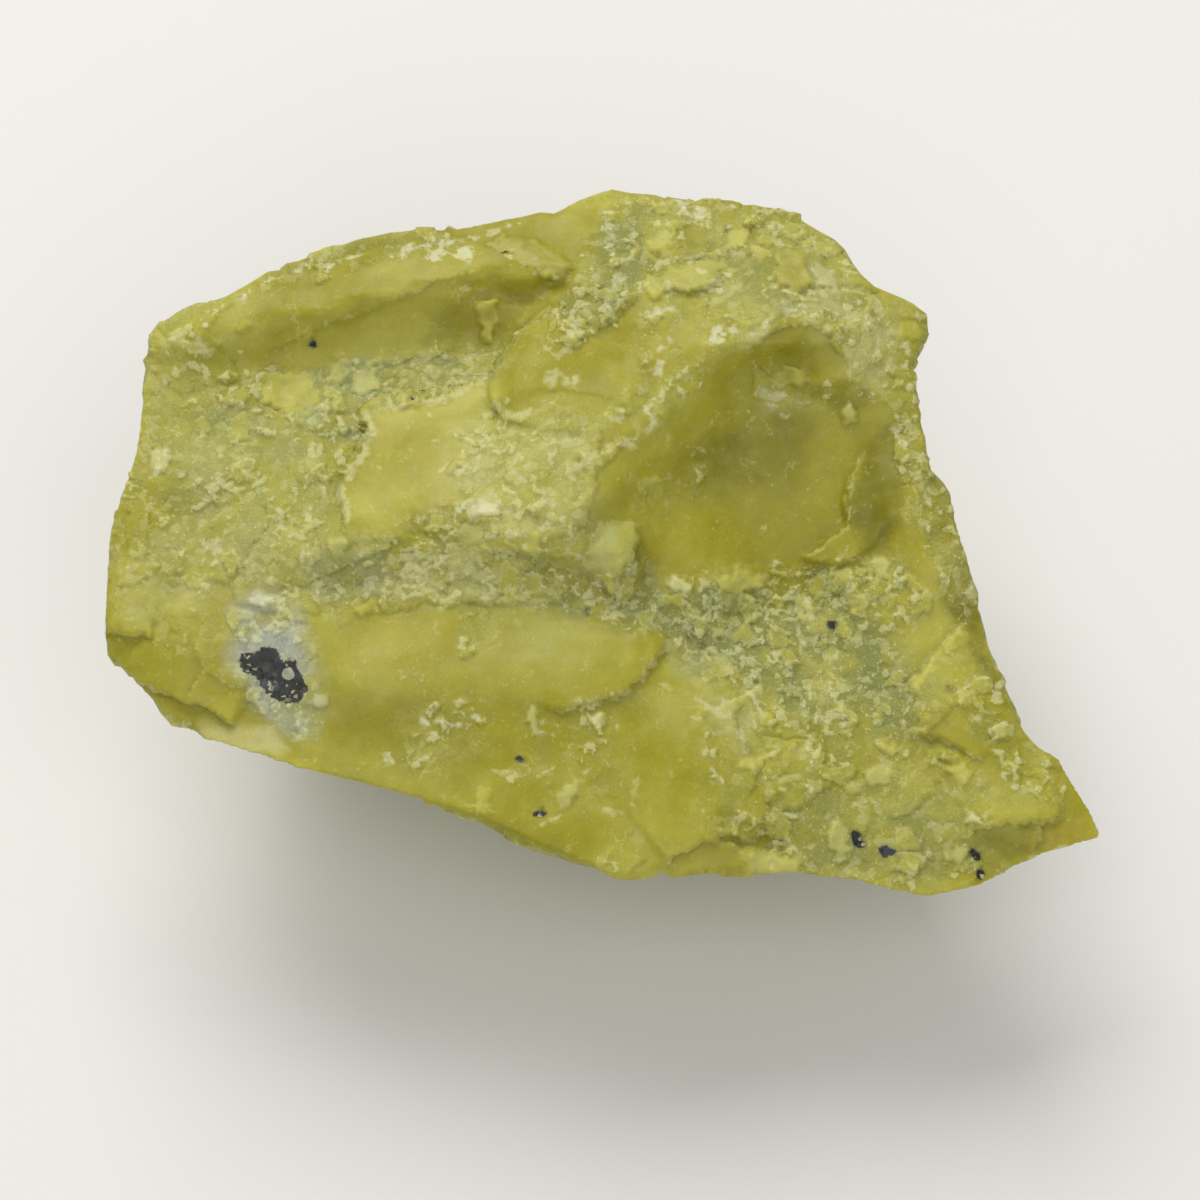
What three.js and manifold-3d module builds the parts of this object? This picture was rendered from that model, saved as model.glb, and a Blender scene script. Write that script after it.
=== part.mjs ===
// A palm-sized lump of serpentine, broken from the vein on every side.
//
// The lump is first drawn lying on its back, in the frame of its broad broken face: x to the
// right, y up the face, z out of the face. A prism of the outline of the face meets a block whose
// top is the relief of the face. Thin plates are left standing on the face. The lump is then
// tipped up to the way it rests, and its flanks and underside are broken away by cleavages, each a
// plane with a shell-shaped hollow. The floor cuts the small flat spot that it rests on.

import * as THREE from "three";
import { mergeVertices } from "three/addons/utils/BufferGeometryUtils.js";
import Module from "manifold-3d";

const wasm = await Module();
wasm.setup();

// Driving dimensions, in millimetres
const HEIGHT_AT_REST = 18.7;
const FACE_TILT = THREE.MathUtils.degToRad(34.2);

// The block under the relief, and how finely it is divided. Its centre is no round number, so that
// no corner of an outline falls on a line of its grid.
const BLOCK_SIZE = new THREE.Vector3(42, 32, 30);
const BLOCK_CENTRE = new THREE.Vector2(0.03, 2.53);
const RELIEF_STEP = 0.66;

// Facets meet in ledges of this relative width, which wander this much over this distance
const LEDGE_WIDTH = 1.05;
const WANDER = 0.16;
const WANDER_LENGTH = 3;

// The block that each cleavage takes away, and the roughness of the surface that it leaves
const CLEAVER_SIDE = 50;
const CLEAVER_STEP = 1.6;
const CLEAVAGE_ROUGHNESS = 0.22;
const CLEAVAGE_ROUGH_LENGTH = 6;

// The rim of the broad face, in its own frame, clockwise from the far left corner
const RIM = [
  // back edge, left to right
  [-17.1, 10.1], [-16, 10.9], [-14.3, 11.6], [-12.9, 12.5], [-11, 13.2], [-6.3, 14.4], [-3.9, 14.9],
  [-2.4, 15.3], [-1.7, 15.2], [-1, 15.5], [0.4, 15.9], [2.2, 16], [3.4, 15.7], [5, 15.9], [7.7, 15],
  // back corner with its small knob
  [9.2, 13.9], [9.9, 13.1], [10.6, 12.4], [11.8, 11.8], [12.5, 11.5], [12.7, 10.4], [12, 9],
  // right edge, down to the tip
  [12.6, 6.4], [12.8, 5.1], [13.6, 4.1], [13.8, 2.9], [14.4, 0.8], [14.8, -1.5], [15.5, -3.4],
  [16.1, -4.9], [16.7, -5.6], [17.5, -6.1], [18, -7], [18.7, -8.1], [19.1, -9],
  // front edge of the wing, right to left
  [16.9, -9.6], [15.6, -10.2], [14.4, -10.8], [12.5, -11.2], [10.2, -11.5], [7.5, -11.4], [5.3, -11.1],
  // notch, nose and the long front edge
  [3.9, -10.6], [2.3, -9.9], [1.8, -10.2], [0.6, -10.4], [-0.1, -10], [-0.9, -9.7], [-4.1, -8.3],
  [-7, -7.4], [-9.6, -6.7], [-12.1, -6.2], [-14.8, -5.4], [-15.3, -4.7], [-16.5, -4.2], [-17.1, -3.5],
  // left edge
  [-18.6, -2.1], [-18.8, -0.6], [-18.5, 1.7], [-18.7, 2.3], [-18.4, 4], [-17.9, 5.6], [-17.7, 8.2],
];

// One facet of the broad face: where it lies, how high it stands there, how it slopes along x and
// y, and how far it reaches along x and y before its neighbours take over
function facet(name, [x, y], height, [slopeX, slopeY], [reachX, reachY]) {
  return { name, x, y, height, slopeX, slopeY, reachX, reachY };
}

const FACETS = [
  facet("back bench, left end", [-15, 11.1], -5.4, [0.05, -0.68], [2.2, 1.2]),
  facet("back bench, left", [-12.1, 11.9], -5.4, [0, -0.83], [2.5, 1]),
  facet("back bench, middle", [-8.6, 12.9], -5.6, [0, -0.88], [2.5, 1]),
  facet("back bench, right", [-5.1, 13.8], -6.3, [0, -0.88], [2.2, 1]),
  facet("back rim, left of top", [-2.4, 14.3], -6.8, [0, -0.78], [1.5, 1]),
  facet("back rim, top", [0, 14.1], -6.8, [0, -0.78], [1.8, 1.4]),
  facet("back rim, right of top", [3.5, 14.1], -6.7, [0, -0.73], [2, 1.4]),
  facet("back rim, right", [6.7, 13.7], -6.6, [-0.05, -0.83], [2, 1.4]),
  facet("back corner", [9.4, 12.1], -6.2, [-0.2, -0.83], [1.6, 1.4]),
  facet("back corner knob", [11.3, 10.9], -6.1, [-0.25, -0.58], [1.2, 1.2]),
  facet("bench riser, left end", [-13.6, 9.4], -5.5, [0, 0.27], [2, 0.6]),
  facet("bench riser, left", [-10.5, 10.1], -5.6, [0, 0.37], [2.2, 0.9]),
  facet("bench riser, middle", [-7, 10.9], -5.8, [0, 0.42], [2, 1]),
  facet("bench riser, right", [-3.9, 11.5], -5.9, [0.1, 0.47], [1.5, 1.2]),
  facet("streak above the lobe", [-0.4, 12.1], -5.4, [0, -0.63], [1.4, 1.3]),
  facet("lobe, upper left", [-1.9, 9.7], -4.5, [0.1, -0.43], [1.5, 1.5]),
  facet("lobe, upper right", [1.5, 10.1], -4.4, [0.05, -0.43], [1.5, 1.3]),
  facet("bruise above the scoop", [3.9, 11.6], -4.9, [0, -0.68], [1.6, 1.3]),
  facet("scoop brow", [7, 11.2], -4.6, [0, -0.78], [1.6, 1]),
  facet("scoop brow, right", [9.7, 10.7], -5, [-0.2, -0.68], [1.4, 1]),
  facet("grey band, left", [-11.7, 8], -5.2, [0, -0.43], [2.2, 0.8]),
  facet("grey band, right", [-7, 8.8], -5.6, [0, -0.53], [2.2, 0.8]),
  facet("left shoulder, back", [-15.9, 7.4], -4.8, [0.05, -0.33], [2, 1.4]),
  facet("pale plate, back", [-6.6, 6.2], -4.1, [0.02, -0.5], [2, 1.8]),
  facet("lobe, front", [-1.2, 7.7], -3.5, [0.12, -0.48], [1.4, 1.3]),
  facet("lobe crest", [1.9, 7.7], -3.4, [-0.15, -0.43], [1, 1]),
  facet("right rim, back", [10.9, 9], -5.4, [0, -0.18], [1, 1.2]),
  facet("left shoulder", [-15.4, 3.8], -3.3, [0.02, -0.41], [2.5, 2.2]),
  facet("pale plate, front", [-8.4, 3.8], -3, [0.02, -0.48], [1.8, 1.6]),
  facet("crushed zone", [-3.1, 4.2], -2.3, [0.08, -0.43], [1.6, 1.5]),
  facet("lobe crest, front", [-0.2, 5], -2.2, [-0.12, -0.38], [1, 1]),
  facet("scoop wall", [3.1, 5.8], -3.8, [-0.42, 0.02], [1.8, 1.6]),
  facet("scoop hollow", [7.3, 9.3], -4.9, [-0.05, 0.5], [1.1, 0.6]),
  facet("bulge by the back corner", [9.3, 9.4], -4.9, [-0.15, -0.5], [0.9, 0.9]),
  facet("scoop, back", [7.8, 7.4], -5.1, [-0.08, 0.15], [1.7, 0.8]),
  facet("scoop floor", [6.6, 4.3], -4.9, [-0.08, -0.03], [2.6, 2.4]),
  facet("right rim, middle", [11.6, 5], -4.9, [0.25, -0.38], [0.8, 1.4]),
  facet("right rim, front", [13, 2.7], -4.4, [-0.2, -0.48], [0.7, 1.5]),
  facet("left shoulder, front", [-10.7, 2.3], -2.5, [0, -0.38], [1.6, 1.2]),
  facet("valley, left end", [-9.6, 0.8], -2.8, [0, 0.22], [1.6, 0.6]),
  facet("valley, left", [-5.7, 1.5], -2.7, [0.05, 0.02], [1.8, 0.8]),
  facet("valley, middle", [-1.9, 1.1], -2.5, [0, 0.47], [1.4, 0.7]),
  facet("valley, right", [0.8, 0.2], -2.8, [-0.1, 0.27], [1, 0.6]),
  facet("small plate", [0.7, 2.5], -2.3, [-0.15, -0.38], [0.9, 0.9]),
  facet("scoop wall, front", [3.5, 1.7], -3.6, [-0.28, -0.18], [1.4, 1.2]),
  facet("ramp below the scoop", [10.8, 0.8], -4.5, [0.15, -0.28], [1.5, 1.5]),
  facet("left corner", [-16.8, 0.4], -1.9, [0.02, -0.38], [1.6, 1.8]),
  facet("front plate, left end", [-12.2, -0.8], -1.8, [0.02, -0.38], [2, 1.4]),
  facet("front plate, left", [-7.6, -1.5], -1.9, [0.02, -0.43], [2.2, 1.3]),
  facet("front plate, middle", [-3, -1.9], -1.9, [0.02, -0.43], [2, 1.2]),
  facet("front plate, right", [0.4, -2.7], -1.7, [-0.02, -0.33], [1.3, 1]),
  facet("valley foot", [3.5, -1.3], -3.3, [-0.2, -0.18], [1, 0.8]),
  facet("green band, left", [6.2, -1.9], -3.8, [-0.1, -0.43], [1.6, 1.1]),
  facet("green band, middle", [9.7, -1.5], -4.2, [0.1, -0.38], [1.8, 1.4]),
  facet("right side, upper", [12.4, -0.8], -4, [0.1, -0.18], [1.2, 1.6]),
  facet("left undercut", [-17.1, -2.5], -1.4, [0.35, 0.07], [1.4, 1]),
  facet("front lip, left", [-12.5, -3.4], -1.1, [0.02, -0.23], [1.8, 1.2]),
  facet("front slope, left", [-6.4, -4.2], -1.1, [0, -0.16], [2.5, 1.3]),
  facet("front slope, middle", [-2.3, -4.5], -1.1, [0, -0.13], [1.8, 1.2]),
  facet("front dome", [1.9, -4.9], -1.3, [-0.1, -0.38], [1.8, 1.8]),
  facet("front dome, right", [5.3, -4.6], -2.3, [-0.25, -0.43], [1.6, 1.6]),
  facet("wing, left", [8.8, -3.8], -3.3, [-0.1, -0.48], [1.8, 1.5]),
  facet("wing, right", [13.4, -3.4], -2.9, [-0.05, -0.48], [1.5, 1.8]),
  facet("front lip", [-14, -5.1], -0.8, [0.05, -0.28], [1.6, 0.8]),
  facet("front lip, middle", [-8.3, -6.2], -0.5, [0, -0.33], [2.5, 1]),
  facet("front lip, right", [-3.8, -7.3], -0.2, [0, -0.33], [2.2, 1]),
  facet("front nose", [0.8, -8.3], 0.1, [-0.08, -0.28], [2, 1.6]),
  facet("front nose, right", [4.5, -7.6], -0.9, [-0.2, -0.38], [1.8, 1.6]),
  facet("wing, front left", [8.7, -7.2], -1.7, [-0.1, -0.38], [2, 1.6]),
  facet("wing, front", [12.2, -7.2], -1.8, [-0.02, -0.43], [1.8, 1.6]),
  facet("wing, front right", [15.2, -6.8], -1.8, [-0.15, -0.38], [1.5, 1.3]),
  facet("nose tip", [1.5, -9.9], 0.6, [-0.1, -0.18], [1.2, 0.8]),
  facet("notch facet", [3.8, -9.6], -0.3, [-0.05, 0.02], [1.4, 0.8]),
  facet("wing foot, left", [7.2, -9.8], -0.8, [-0.05, -0.23], [2, 1]),
  facet("wing foot", [11, -10.2], -0.9, [-0.05, -0.28], [2, 1.2]),
  facet("tip scoop", [15.2, -9.3], -1.5, [-0.05, 0.27], [1.6, 0.8]),
  facet("tip", [18.1, -8.6], -1.7, [-0.3, -0.18], [1.2, 0.9]),
];

// Thin plates left standing on the face where a flake broke away beside them. Each stands proud by
// its lift at the place from, and sinks into the face along fades. Its thin side ends below the
// face by this share of its lift.
const PLATE_ROOT = 0.2;
const PLATES = [
  {
    name: "pale plate",
    lift: 0.42,
    from: [-9, 6.8],
    fades: [3.5, -4.5],
    outline: [[-4.3, 8.7], [-5.6, 8], [-8.5, 7.5], [-9.1, 7], [-8.9, 6.5], [-10, 4.8], [-9.9, 3.5],
      [-9.6, 2.2], [-7.6, 2.4], [-5.2, 3.2], [-3.9, 4.5], [-4.2, 6.5]],
  },
  {
    name: "lobe lip",
    lift: 0.4,
    from: [-4, 8.3],
    fades: [3.2, -2.4],
    outline: [[-1.6, 11], [-3, 10.4], [-3.7, 9.3], [-4.2, 8.4], [-4.2, 7.6], [-3.8, 7], [-1.5, 6.4],
      [0.6, 7.5], [0.8, 9.6]],
  },
  {
    name: "small plate",
    lift: 0.32,
    from: [1.2, 1],
    fades: [-1.2, 1.6],
    outline: [[0, 3], [1.2, 3], [1.5, 2.2], [1.3, 1.5], [0.9, 1.3], [0.7, 0.8], [0, 0.8], [-0.7, 1.2]],
  },
  {
    name: "front plate",
    lift: 0.28,
    from: [1.8, -3.2],
    fades: [-3.2, 2.9],
    outline: [[2.7, -1.5], [2.1, -2.3], [1.6, -3], [0.8, -3.6], [-0.4, -3.9], [-1.3, -4.2], [-4, -3.6],
      [-4.6, -1.4], [-1, -0.6], [1.5, -1.1]],
  },
  {
    name: "flake by the right rim",
    lift: 0.32,
    from: [9.5, 3.6],
    fades: [1.9, 0.6],
    outline: [[10, 5.4], [9.6, 4.6], [9.4, 3.8], [9.6, 3], [9.1, 2.5], [8.2, 1.9], [7.8, 1.6],
      [9.2, 1.3], [10.6, 2.1], [11.5, 3.6], [11.2, 5.6], [10.6, 6.2]],
  },
];

// Cleavages of the flanks and underside, in the frame of rest before the lump is stood on its
// spot: a point of the plane, the bearing and dip of its outward normal in degrees, and the depth
// and radius of the hollow broken out around that point
const CLEAVAGES = [
  { name: "back, left", point: [-9, 15.7, 0], bearing: 105, dip: -8, hollow: 0.9, radius: 7 },
  { name: "back, right", point: [4.5, 18.2, -2], bearing: 83, dip: -5, hollow: 1.2, radius: 6 },
  { name: "back left corner", point: [-15.9, 13.2, 0], bearing: 135, dip: -6, hollow: 0.4, radius: 4 },
  { name: "back right corner", point: [11.6, 15, 0], bearing: 50, dip: -12, hollow: 0.3, radius: 5 },
  { name: "right side", point: [15.9, 2.7, -3.8], bearing: 28, dip: -22, hollow: 1.3, radius: 7 },
  { name: "under the tip", point: [14.1, -8.1, -8], bearing: 300, dip: -46, hollow: 0.4, radius: 4 },
  { name: "under the wing", point: [6, -7, -8.1], bearing: 262, dip: -46, hollow: 0.8, radius: 5 },
  { name: "under the front edge", point: [-8.1, -3.9, -7.3], bearing: 244.6, dip: -42, hollow: 1, radius: 6 },
  { name: "left side", point: [-18.2, 3, -4.3], bearing: 170, dip: -20, hollow: 0.8, radius: 6 },
  { name: "foot, left", point: [-14.5, 4, -9.5], bearing: 190, dip: -48, hollow: 0.5, radius: 5 },
  { name: "foot, back left", point: [-9.5, 13.2, -9], bearing: 125, dip: -36, hollow: 0.5, radius: 5 },
  { name: "foot, back", point: [1, 16.8, -9], bearing: 92, dip: -40, hollow: 0.6, radius: 5 },
  { name: "foot, back right", point: [9.5, 12, -9], bearing: 42, dip: -38, hollow: 0.5, radius: 5 },
  { name: "foot, right", point: [13.5, 0, -11.7], bearing: 5, dip: -50, hollow: 0.5, radius: 5 },
];

// A slow, irregular swing between -1 and 1, different for each phase
function swing(x, y, length, phase) {
  const turn = (2 * Math.PI) / length;
  const first = Math.sin(turn * (0.9 * x + 0.5 * y) + 1.7 * phase);
  const second = Math.sin(turn * (-0.6 * x + 1.1 * y) + 2.9 * phase);
  const third = Math.sin(turn * (1.5 * x - 0.8 * y) + 4.1 * phase);
  return (first + second + 0.6 * third) / 2.6;
}

// Height of the broad face: each facet's plane, weighted by how near its own place the point is
function faceHeight(x, y) {
  const u = x + WANDER * swing(x, y, WANDER_LENGTH, 1);
  const v = y + WANDER * swing(x, y, WANDER_LENGTH, 2);
  let total = 0;
  let weights = 0;
  for (const plane of FACETS) {
    const dx = u - plane.x;
    const dy = v - plane.y;
    const near = (dx / (plane.reachX * LEDGE_WIDTH)) ** 2 + (dy / (plane.reachY * LEDGE_WIDTH)) ** 2;
    const weight = Math.exp(-near) + 1e-9;
    total += weight * (plane.height + plane.slopeX * dx + plane.slopeY * dy);
    weights += weight;
  }
  return total / weights;
}

function solidFrom(geometry) {
  const bare = geometry.clone();
  bare.deleteAttribute("normal");
  bare.deleteAttribute("uv");
  const welded = mergeVertices(bare, 1e-5);
  const vertProperties = new Float32Array(welded.attributes.position.array);
  const triVerts = new Uint32Array(welded.index.array);
  return new wasm.Manifold(new wasm.Mesh({ numProp: 3, vertProperties, triVerts }));
}

function geometryFrom(solid) {
  const { vertProperties, triVerts } = solid.getMesh();
  const geometry = new THREE.BufferGeometry();
  geometry.setAttribute("position", new THREE.BufferAttribute(vertProperties, 3));
  geometry.setIndex(new THREE.BufferAttribute(triVerts, 1));
  return geometry;
}

// How far a plate stands proud of the face at a place
function plateLift({ lift, from, fades }, x, y) {
  const [alongX, alongY] = fades;
  const walked = (x - from[0]) * alongX + (y - from[1]) * alongY;
  const share = walked / (alongX ** 2 + alongY ** 2);
  return lift * THREE.MathUtils.clamp(1 - share, -PLATE_ROOT, 1);
}

// A block under the broad face, its top shaped to the relief and raised by liftAt(x, y)
function reliefBlock(liftAt) {
  const across = Math.round(BLOCK_SIZE.x / RELIEF_STEP);
  const up = Math.round(BLOCK_SIZE.y / RELIEF_STEP);
  const block = new THREE.BoxGeometry(BLOCK_SIZE.x, BLOCK_SIZE.y, BLOCK_SIZE.z, across, up, 1);
  block.translate(BLOCK_CENTRE.x, BLOCK_CENTRE.y, 0);
  const points = block.attributes.position;
  for (let i = 0; i < points.count; i++) {
    const x = points.getX(i);
    const y = points.getY(i);
    const height = points.getZ(i) > 0 ? faceHeight(x, y) + liftAt(x, y) : -BLOCK_SIZE.z;
    points.setZ(i, height);
  }
  return solidFrom(block);
}

// A prism of an outline of the face, from far behind the face to far in front of it
function outlinePrism(outline) {
  const shape = new THREE.Shape(outline.map(([x, y]) => new THREE.Vector2(x, y)));
  const prism = new THREE.ExtrudeGeometry(shape, { depth: 2 * BLOCK_SIZE.z, bevelEnabled: false });
  return solidFrom(prism.translate(0, 0, -BLOCK_SIZE.z));
}

function plateSolid(plate) {
  return outlinePrism(plate.outline).intersect(reliefBlock((x, y) => plateLift(plate, x, y)));
}

// The block that a cleavage takes away: its inner side is the plane, hollowed into the lump
function cleaver({ point, bearing, dip, hollow, radius }, phase) {
  const steps = Math.round(CLEAVER_SIDE / CLEAVER_STEP);
  const block = new THREE.BoxGeometry(CLEAVER_SIDE, CLEAVER_SIDE, CLEAVER_SIDE, steps, steps, 1);
  const points = block.attributes.position;
  for (let i = 0; i < points.count; i++) {
    const x = points.getX(i);
    const y = points.getY(i);
    const rough = CLEAVAGE_ROUGHNESS * swing(x, y, CLEAVAGE_ROUGH_LENGTH, phase);
    const scoop = hollow * Math.exp(-(x * x + y * y) / (radius * radius));
    const height = points.getZ(i) > 0 ? CLEAVER_SIDE : rough - scoop;
    points.setZ(i, height);
  }
  block.rotateY(THREE.MathUtils.degToRad(90 - dip));
  block.rotateZ(THREE.MathUtils.degToRad(bearing));
  return solidFrom(block.translate(...point));
}

// Everything above the floor
function restingHalfSpace(floor) {
  const side = 2 * CLEAVER_SIDE;
  const block = new THREE.BoxGeometry(side, side, side);
  return solidFrom(block.translate(0, 0, floor + side / 2));
}

function lumpOnItsBack() {
  let face = reliefBlock(() => 0);
  for (const plate of PLATES) {
    face = face.add(plateSolid(plate));
  }
  return face.intersect(outlinePrism(RIM));
}

function rockGeometry() {
  const tipped = geometryFrom(lumpOnItsBack()).rotateX(FACE_TILT);
  tipped.computeBoundingBox();
  const floor = tipped.boundingBox.max.z - HEIGHT_AT_REST;
  let rock = solidFrom(tipped);
  CLEAVAGES.forEach((cleavage, index) => {
    rock = rock.subtract(cleaver(cleavage, index));
  });
  return geometryFrom(rock.intersect(restingHalfSpace(floor)));
}

// Stands the lump on its resting spot, centred on the origin
function standOnOrigin(geometry) {
  geometry.computeBoundingBox();
  const centre = geometry.boundingBox.getCenter(new THREE.Vector3());
  return geometry.translate(-centre.x, -centre.y, -geometry.boundingBox.min.z);
}

const serpentine = new THREE.MeshStandardMaterial({ color: 0xa9a44a, roughness: 0.45, metalness: 0 });

const rock = new THREE.Mesh(standOnOrigin(rockGeometry()), serpentine);
rock.name = "rock";

const part = new THREE.Group();
part.add(rock);

export default part;
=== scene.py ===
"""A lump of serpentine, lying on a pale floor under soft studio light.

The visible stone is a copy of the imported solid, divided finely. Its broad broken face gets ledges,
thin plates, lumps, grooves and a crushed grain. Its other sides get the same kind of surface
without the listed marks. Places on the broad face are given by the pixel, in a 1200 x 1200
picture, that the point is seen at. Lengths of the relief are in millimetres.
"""

import itertools
import math

import bpy
import numpy as np
from mathutils import Matrix, Vector


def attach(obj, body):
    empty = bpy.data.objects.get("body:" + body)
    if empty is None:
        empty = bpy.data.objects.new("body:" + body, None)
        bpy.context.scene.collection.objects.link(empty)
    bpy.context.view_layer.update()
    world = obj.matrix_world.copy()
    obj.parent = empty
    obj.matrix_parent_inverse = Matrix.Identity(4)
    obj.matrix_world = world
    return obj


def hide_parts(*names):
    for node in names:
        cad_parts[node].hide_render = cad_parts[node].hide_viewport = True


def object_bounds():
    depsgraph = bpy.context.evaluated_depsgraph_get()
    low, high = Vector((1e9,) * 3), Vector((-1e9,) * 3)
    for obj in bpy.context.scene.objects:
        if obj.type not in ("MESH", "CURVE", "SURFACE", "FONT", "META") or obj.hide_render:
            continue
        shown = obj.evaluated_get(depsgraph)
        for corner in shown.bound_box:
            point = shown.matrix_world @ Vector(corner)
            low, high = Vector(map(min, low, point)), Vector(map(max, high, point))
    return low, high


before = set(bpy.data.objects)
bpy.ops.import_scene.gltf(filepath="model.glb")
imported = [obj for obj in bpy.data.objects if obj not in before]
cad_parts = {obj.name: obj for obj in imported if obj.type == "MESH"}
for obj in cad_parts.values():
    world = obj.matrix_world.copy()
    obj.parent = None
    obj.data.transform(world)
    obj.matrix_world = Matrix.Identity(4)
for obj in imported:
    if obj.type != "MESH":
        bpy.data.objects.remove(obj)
cad_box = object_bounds()

MM = 0.001

# The frame of the broad face: x to the right, y up the face, height out of it, in millimetres
FACE_TILT = math.radians(34.2)
FACE_ORIGIN = np.array([-0.150, -4.696, 15.924])
ALONG_X = np.array([1.0, 0.0, 0.0])
UP_FACE = np.array([0.0, math.cos(FACE_TILT), math.sin(FACE_TILT)])
OUT_OF_FACE = np.array([0.0, -math.sin(FACE_TILT), math.cos(FACE_TILT)])

# The camera looks straight at the broad face
CAMERA_DISTANCE = 153.0
PICTURE_MIDDLE = 600.0
PIXELS_AT_UNIT_SLOPE = 4068.0
SENSOR_WIDTH = 36.0
PICTURE_WIDTH = 1200.0

# How finely the stone is divided
VOXEL = 0.112
SMOOTHING_ROUNDS = 22
SMOOTHING_STEPS = (0.55, -0.56)
MOST_TRIANGLES = 192000

# The material's broken grains and its bumps, in metres
GRAIN_SIZE = 0.00032
SUGAR_SIZE = 0.00013
GRAIN_STRAY = 0.00012
HAIR_STRAY = 0.0007
BUMP_HEIGHT = 0.00009

FLOOR_SIZE = 3.0
LIT_POINT = Vector((0, 0, 0.008))

# Stands for any distance beyond the reach that near_line is given
FAR = 1e6


def linear(colour):
    """Linear light from a colour of 0 to 255 a channel."""
    share = np.array(colour) / 255
    return np.where(share < 0.04045, share / 12.92, ((share + 0.055) / 1.055) ** 2.4)


# Colours of the stone; MOSS and OLIVE are also laid as painted shade, LEMON and CHALK as painted highlight
OLIVE = linear((152, 145, 26))
MOSS = linear((121, 116, 20))
YELLOW = linear((173, 167, 62))
HONEY = linear((170, 153, 48))
LEMON = linear((190, 185, 88))
SAGE = linear((157, 163, 107))
GREY_GREEN = linear((138, 142, 76))
CREAM = linear((211, 210, 156))
CHALK = linear((214, 213, 172))
STRAW = linear((186, 184, 108))
BARK = linear((92, 84, 44))
HALO = linear((168, 172, 157))
INK = linear((36, 38, 41))
SLATE = linear((92, 96, 104))


# ---- noise

def scrambled(cells, seed):
    """A number from 0 to 1 for each whole-numbered cell."""
    mixed = cells[..., 0] * 374761393 + cells[..., 1] * 668265263 + cells[..., 2] * 2246822519
    mixed = (mixed + seed * 3266489917) & 0xFFFFFFFF
    mixed = ((mixed ^ (mixed >> 15)) * 2246822519) & 0xFFFFFFFF
    mixed = ((mixed ^ (mixed >> 13)) * 3266489917) & 0xFFFFFFFF
    return ((mixed ^ (mixed >> 16)) & 0xFFFFFF) / float(0xFFFFFF)


def noise(points, size, seed):
    """Smooth noise from about -1 to 1, with waves about as long as size."""
    scaled = points / size
    cell = np.floor(scaled)
    part = scaled - cell
    cell = cell.astype(np.int64)
    ease = part * part * part * (part * (part * 6 - 15) + 10)
    total = np.zeros(len(points))
    for corner in itertools.product((0, 1), repeat=3):
        corner = np.array(corner)
        offset = part - corner
        weight = np.prod(np.where(corner == 1, ease, 1 - ease), axis=1)
        slope = 0
        for axis in range(3):
            slope = slope + (scrambled(cell + corner, seed * 3 + axis) * 2 - 1) * offset[:, axis]
        total += weight * slope
    return total * 1.9


def layered(points, size, layers, seed, gain=0.5):
    """Noise of several sizes, each half as long as the one before."""
    total = 0
    for layer in range(layers):
        total = total + gain**layer * noise(points, size / 2**layer, seed + 7 * layer)
    return total


def strays(points, size, layers, seed, reach):
    """Steps of about reach pixels, each way, that change from place to place."""
    return reach * np.stack([layered(points, size, layers, seed + axis) for axis in range(2)], axis=1)


def three_numbers(cells, seed):
    """Three numbers from 0 to 1 for each whole-numbered cell."""
    return np.stack([scrambled(cells, seed + axis) for axis in range(3)], axis=1)


def chips(points, size, seed):
    """Cells like broken chips: how far inside its chip each point is, and the chip's number."""
    scaled = points / size
    cell = np.floor(scaled).astype(np.int64)
    nearest = np.full(len(points), 9.0)
    second = np.full(len(points), 9.0)
    number = np.zeros(len(points))
    for step in itertools.product((-1, 0, 1), repeat=3):
        there = cell + np.array(step)
        middle = three_numbers(there, seed * 5)
        distance = np.linalg.norm(there + middle - scaled, axis=1)
        closer = distance < nearest
        second = np.where(closer, nearest, np.minimum(second, distance))
        number = np.where(closer, scrambled(there, seed * 5 + 3), number)
        nearest = np.where(closer, distance, nearest)
    return second - nearest, number


def scoops(points, size, seed):
    """Shallow scoops that meet in sharp ridges, like conchoidal breaks, from about 0 to 1."""
    scaled = points / size
    cell = np.floor(scaled).astype(np.int64)
    lowest = np.full(len(points), 9.0)
    for step in itertools.product((-1, 0, 1), repeat=3):
        there = cell + np.array(step)
        middle = three_numbers(there, seed * 5)
        slope = three_numbers(there, seed * 5 + 5) - 0.5
        away = scaled - there - middle
        bowl = np.sum(away * away + 0.9 * slope * away, axis=1)
        lowest = np.minimum(lowest, bowl + 0.5 * scrambled(there, seed * 5 + 9))
    return lowest


def picked(inside, number, share, bias):
    """Picks a share of the chips: above 0 on those, 0 along their edges and below 0 off them."""
    chosen = np.clip((number + share - 1 + bias) / 0.06, -1, 1)
    return np.minimum(inside / 0.3, 1) * chosen


def smooth(low, high, values):
    """0 below low, 1 above high, and an even rise between them."""
    share = np.clip((values - low) / (high - low), 0, 1)
    return share * share * (3 - 2 * share)


# ---- marks given by pixels

def pixels(text):
    """The pixels that a text such as "104,632 122,637" lists."""
    return np.array([pair.split(",") for pair in text.split()], float)


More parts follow.
